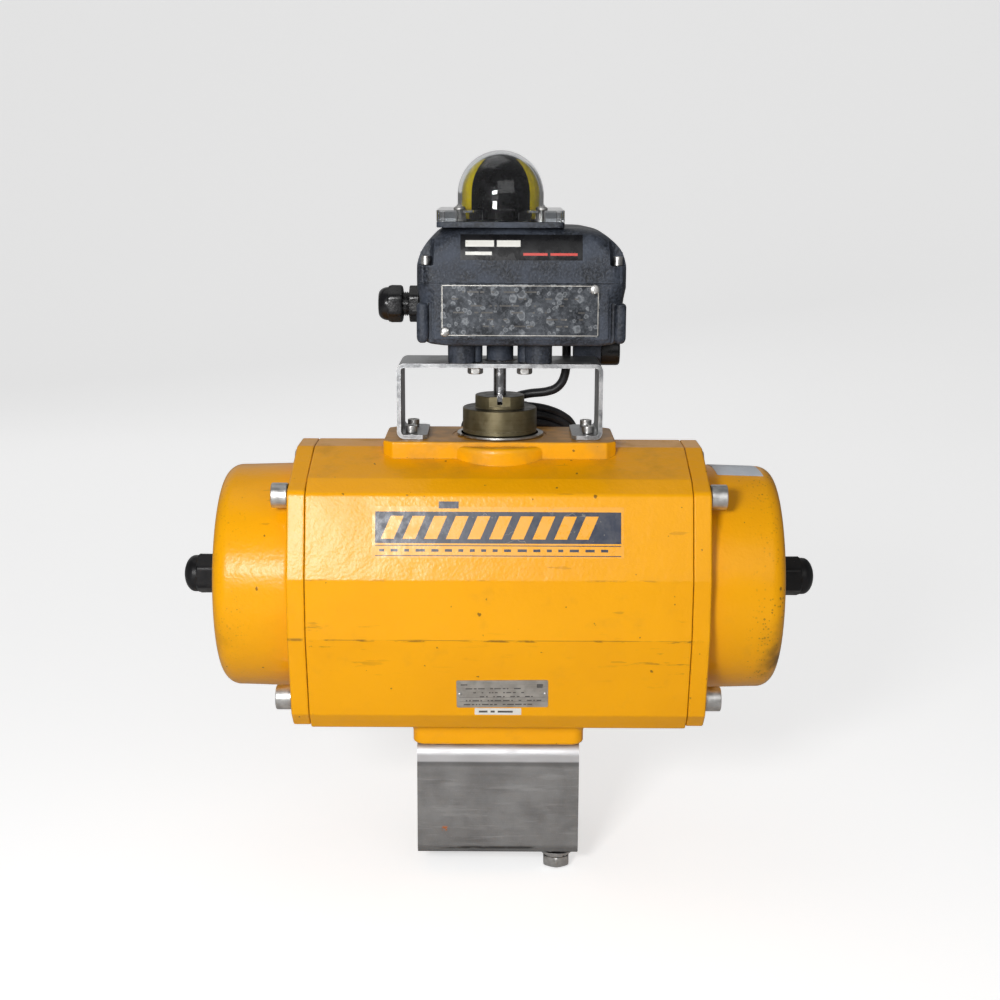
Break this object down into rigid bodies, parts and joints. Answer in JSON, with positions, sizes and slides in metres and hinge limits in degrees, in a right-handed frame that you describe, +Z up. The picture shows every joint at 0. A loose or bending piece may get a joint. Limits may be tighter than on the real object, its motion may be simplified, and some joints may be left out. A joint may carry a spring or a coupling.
{
  "type": "pneumatic valve actuator",
  "caption": "Spring-return pneumatic rack-and-pinion quarter-turn valve actuator with limit-switch box, domed position indicator, coiled signal cable and box-section valve bracket.",
  "frame": {"origin": "on the drive axis, at the underside of the valve bracket where it sits on a valve", "axes": "+Z up along the drive axis, +X along the cylinder to the side that the switch box overhangs, -Y to the front"},
  "size_m": [0.4776, 0.2293, 0.531],
  "materials": {
    "yellow_paint": "amber-yellow epoxy powder paint on aluminium, slight orange peel, scuffed",
    "stainless_sheet": "stainless sheet, mill finish with fine scratches",
    "plated_fastener": "plated or stainless fasteners, slightly dull",
    "bronze_anodised": "olive-bronze hard-anodised aluminium, turned",
    "machined_steel": "machined steel, oiled",
    "bare_aluminium": "machined cast aluminium",
    "spring_steel": "epoxy-coated spring steel",
    "black_plastic": "black glass-filled plastic",
    "bearing_plastic": "natural acetal",
    "black_rubber": "nitrile rubber",
    "box_casting": "dark blue-grey fine-grained coating on a casting",
    "clear_cover": "clear polycarbonate",
    "indicator_plastic": "black rotor with yellow sectors",
    "switch_body": "moulded switch housing",
    "terminal_plastic": "light grey terminal plastic",
    "cam_plastic": "red cam plastic",
    "cable_sheath": "dark grey cable sheath"
  },
  "bodies": {
    "actuator": {"accessory_bracket": "stainless_sheet", "accessory_screw_1": "plated_fastener", "accessory_screw_2": "plated_fastener", "accessory_screw_3": "plated_fastener", "accessory_screw_4": "plated_fastener", "blanking_plug": "black_plastic", "bracket_bolt_1": "plated_fastener", "bracket_bolt_2": "plated_fastener", "bracket_bolt_3": "plated_fastener", "bracket_bolt_4": "plated_fastener", "cable_coil": "cable_sheath", "cable_connector": "black_plastic", "cable_gland": "black_plastic", "cable_grommet": "black_rubber", "circlip": "plated_fastener", "clear_dome": "clear_cover", "cover_gasket": "black_rubber", "dome_base": "box_casting", "gland_nut": "black_plastic", "housing": "yellow_paint", "left_cap_bolt_1": "plated_fastener", "left_cap_bolt_2": "plated_fastener", "left_cap_bolt_3": "plated_fastener", "left_cap_bolt_4": "plated_fastener", "left_end_cap": "yellow_paint", "left_return_spring": "spring_steel", "left_stop_cover": "black_plastic", "left_stop_screw": "machined_steel", "lower_bush": "bearing_plastic", "lower_switch": "switch_body", "right_cap_bolt_1": "plated_fastener", "right_cap_bolt_2": "plated_fastener", "right_cap_bolt_3": "plated_fastener", "right_cap_bolt_4": "plated_fastener", "right_end_cap": "yellow_paint", "right_return_spring": "spring_steel", "right_stop_cover": "black_plastic", "right_stop_screw": "machined_steel", "signal_cable": "cable_sheath", "switch_box_base": "box_casting", "switch_box_cover": "box_casting", "terminal_strip": "terminal_plastic", "upper_bush": "bearing_plastic", "upper_switch": "switch_body", "valve_bolt": "plated_fastener", "valve_bracket": "stainless_sheet", "valve_nut": "plated_fastener", "valve_spring_washer": "plated_fastener", "valve_washer": "plated_fastener"},
    "drive_train": {"drive_pinion": "machined_steel", "shaft_coupler": "bronze_anodised"},
    "switch_train": {"switch_shaft": "machined_steel", "lower_cam": "cam_plastic", "upper_cam": "cam_plastic", "position_indicator": "indicator_plastic"},
    "left_piston_set": {"left_piston": "bare_aluminium", "left_piston_seal": "black_rubber"},
    "right_piston_set": {"right_piston": "bare_aluminium", "right_piston_seal": "black_rubber"}
  },
  "joints": [
    {"name": "drive_shaft_turn", "type": "hinge", "parent": "actuator", "child": "drive_train", "pos_m": [0, 0, 0.202], "axis": [0, 0, 1], "range_deg": [0, 90], "stiffness_Nm_per_rad": 20},
    {"name": "switch_shaft_turn", "type": "hinge", "parent": "actuator", "child": "switch_train", "pos_m": [0, 0, 0.405], "axis": [0, 0, 1], "range_deg": [0, 90]},
    {"name": "left_piston_slide", "type": "slide", "parent": "actuator", "child": "left_piston_set", "axis": [-1, 0, 0], "range_m": [0, 0.0425], "deforming": ["left_return_spring"]},
    {"name": "right_piston_slide", "type": "slide", "parent": "actuator", "child": "right_piston_set", "axis": [1, 0, 0], "range_m": [0, 0.0425], "deforming": ["right_return_spring"]}
  ],
  "couplings": [
    {"joint": "switch_shaft_turn", "follows": "drive_shaft_turn", "ratio": 1},
    {"joint": "left_piston_slide", "follows": "drive_shaft_turn", "m_per_rad": 0.027},
    {"joint": "right_piston_slide", "follows": "drive_shaft_turn", "m_per_rad": 0.027}
  ]
}
